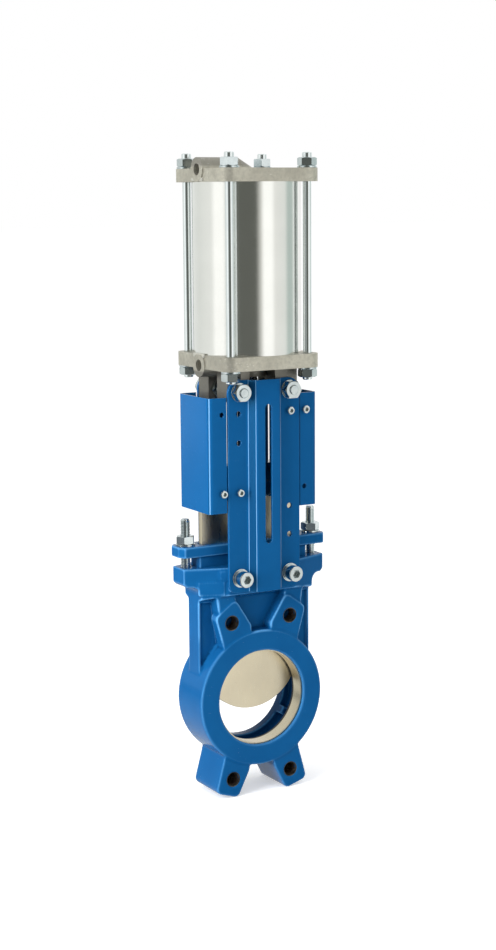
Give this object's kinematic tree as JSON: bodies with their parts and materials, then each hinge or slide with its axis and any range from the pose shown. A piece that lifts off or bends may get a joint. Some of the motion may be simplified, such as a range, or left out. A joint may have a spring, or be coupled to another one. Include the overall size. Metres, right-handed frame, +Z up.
{
  "type": "pneumatic knife gate valve",
  "caption": "Wafer knife gate valve, lugged cast body, flat gate raised and lowered through a packed gland by a tie-rod air cylinder on two slotted plates.",
  "frame": {"origin": "centre of the pipe passage on the front flange face", "axes": "+Z up from the passage to the air cylinder, -Y out of the front flange face along the pipe, +X to the right seen from the front"},
  "size_m": [0.173, 0.1114, 0.661],
  "materials": {
    "body_paint": "blue epoxy paint, satin",
    "sheet_paint": "blue epoxy paint, satin",
    "stainless": "ground stainless steel",
    "zinc": "bright zinc plating",
    "chromed_rod": "hard chrome, polished",
    "cast_aluminium": "fine sand cast, bare",
    "tube_aluminium": "polished and clear anodised",
    "bronze": "turned bearing bronze",
    "seal_rubber": "matt black rubber",
    "guide_plastic": "white low-friction plastic",
    "packing_fibre": "braided packing cord"
  },
  "bodies": {
    "valve": {"body_casting": "body_paint", "seat_retainer": "stainless", "seat_seal": "seal_rubber", "gate_guides": "guide_plastic", "packing_lower": "packing_fibre", "packing_middle": "packing_fibre", "packing_upper": "packing_fibre", "packing_gland": "body_paint", "gland_studs": "zinc", "gland_nuts": "zinc", "gland_washers": "zinc", "front_plate": "sheet_paint", "rear_plate": "sheet_paint", "plate_screws": "zinc", "plate_lock_washers": "zinc", "plate_washers": "zinc", "foot_studs": "zinc", "foot_nuts": "zinc", "foot_jam_nuts": "zinc", "foot_washers": "zinc", "left_guard": "sheet_paint", "right_guard": "sheet_paint", "guard_straps": "zinc", "guard_screws": "zinc", "lower_cover": "cast_aluminium", "upper_cover": "cast_aluminium", "cylinder_tube": "tube_aluminium", "tube_seals": "seal_rubber", "tie_rods": "zinc", "upper_tie_nuts": "zinc", "lower_tie_nuts": "zinc", "tie_washers": "zinc", "rod_bush": "bronze", "rod_seal": "seal_rubber", "rod_wiper": "seal_rubber"},
    "gate_assembly": {"gate": "stainless", "gate_fork": "zinc", "fork_bolts": "zinc", "fork_nuts": "zinc", "rod_lock_nut": "zinc", "piston_rod": "chromed_rod", "piston": "cast_aluminium", "piston_seals": "seal_rubber", "piston_guide_ring": "guide_plastic", "piston_washer": "zinc", "piston_nut": "zinc"}
  },
  "joints": [
    {"name": "gate_travel", "type": "slide", "parent": "valve", "child": "gate_assembly", "axis": [0, 0, 1], "range_m": [-0.041, 0.067]}
  ]
}
